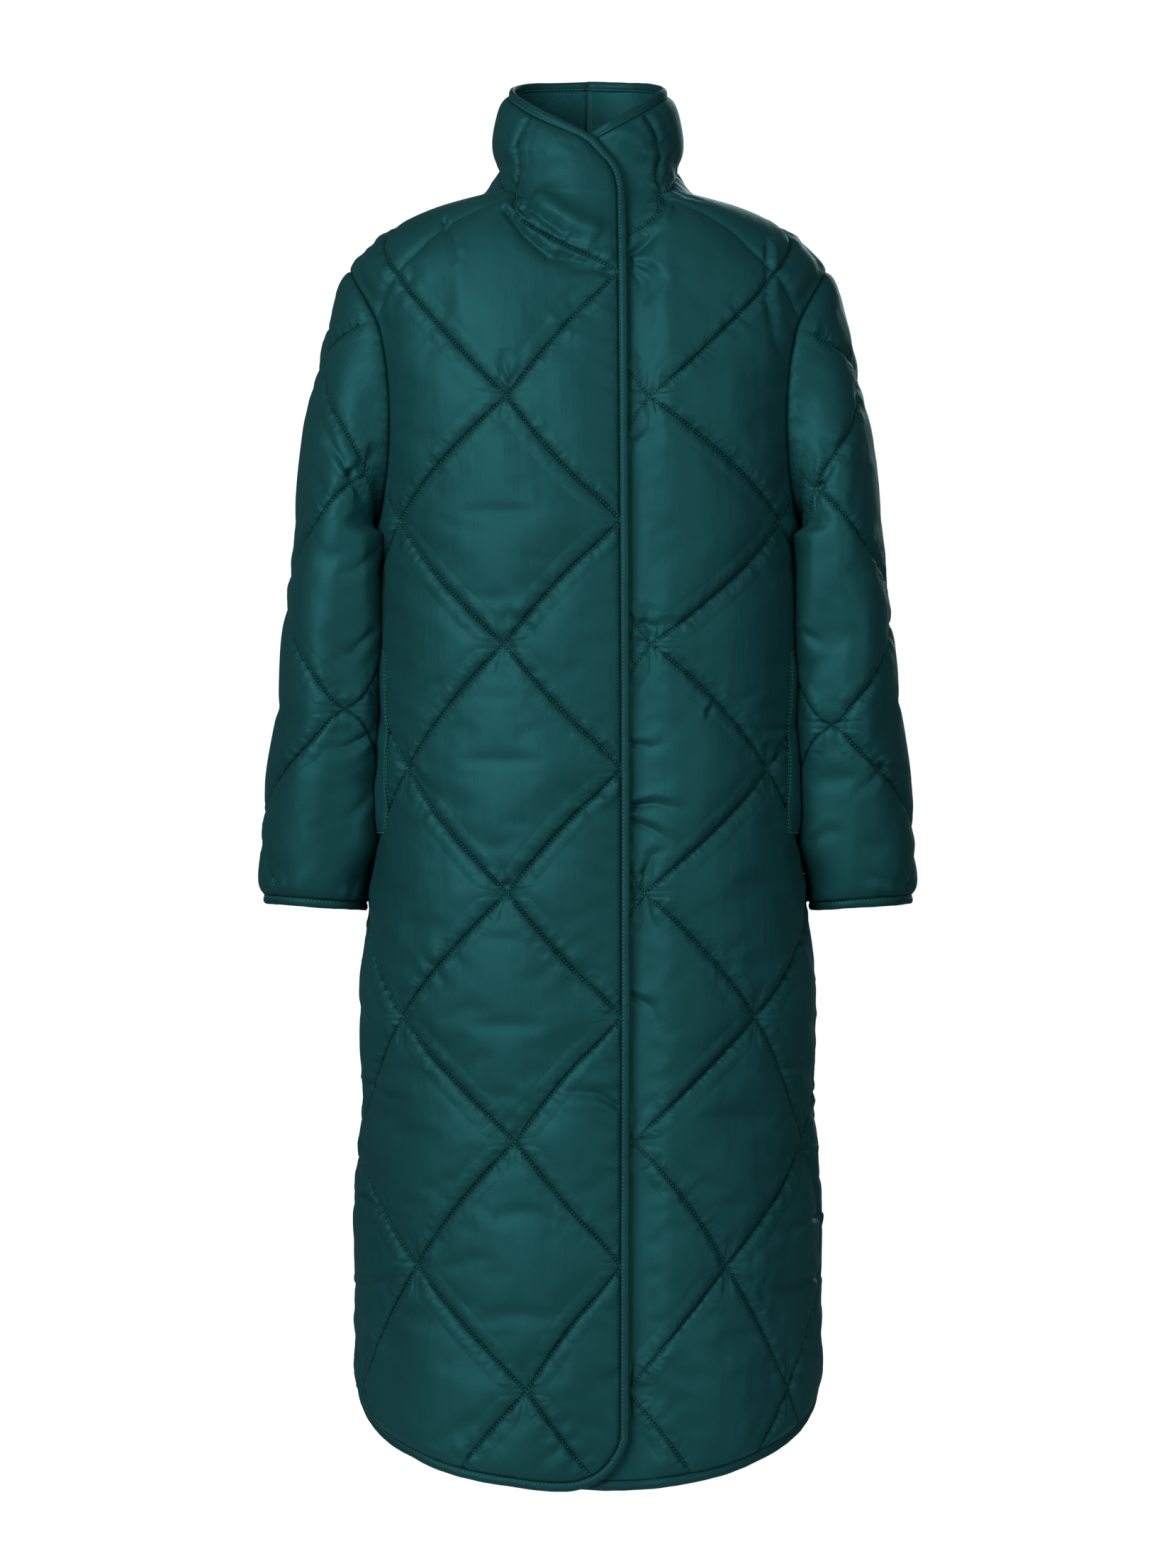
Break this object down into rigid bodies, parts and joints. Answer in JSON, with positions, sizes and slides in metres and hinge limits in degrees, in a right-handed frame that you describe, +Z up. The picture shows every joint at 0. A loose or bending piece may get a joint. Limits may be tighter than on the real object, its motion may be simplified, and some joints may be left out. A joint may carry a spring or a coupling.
{
  "type": "quilted coat",
  "caption": "Long loose coat of diamond-quilted satin with a funnel collar, overlapping front, curved bound hem and side pockets, filled out as if worn.",
  "frame": {"origin": "the middle of the neck, level with the tops of the shoulder seams, where a wearer's shoulders hold the coat", "axes": "+Z up the body, -Y out of the wearer's front, -X towards the wearer's right hand"},
  "size_m": [0.608, 0.3464, 1.3132],
  "materials": {
    "shell": "padded polyester satin, dark bottle green, soft sheen, quilted in large diamonds",
    "binding": "the same satin folded as a narrow binding and topstitched"
  },
  "bodies": {
    "root": {"front_right": "shell", "front_left": "shell", "back": "shell", "sleeve_right": "shell", "sleeve_left": "shell", "pocket_welt_right": "shell", "pocket_welt_left": "shell", "edge_binding_right": "binding", "edge_binding_left": "binding", "hem_binding_back": "binding", "cuff_binding_right": "binding", "cuff_binding_left": "binding"}
  },
  "joints": []
}
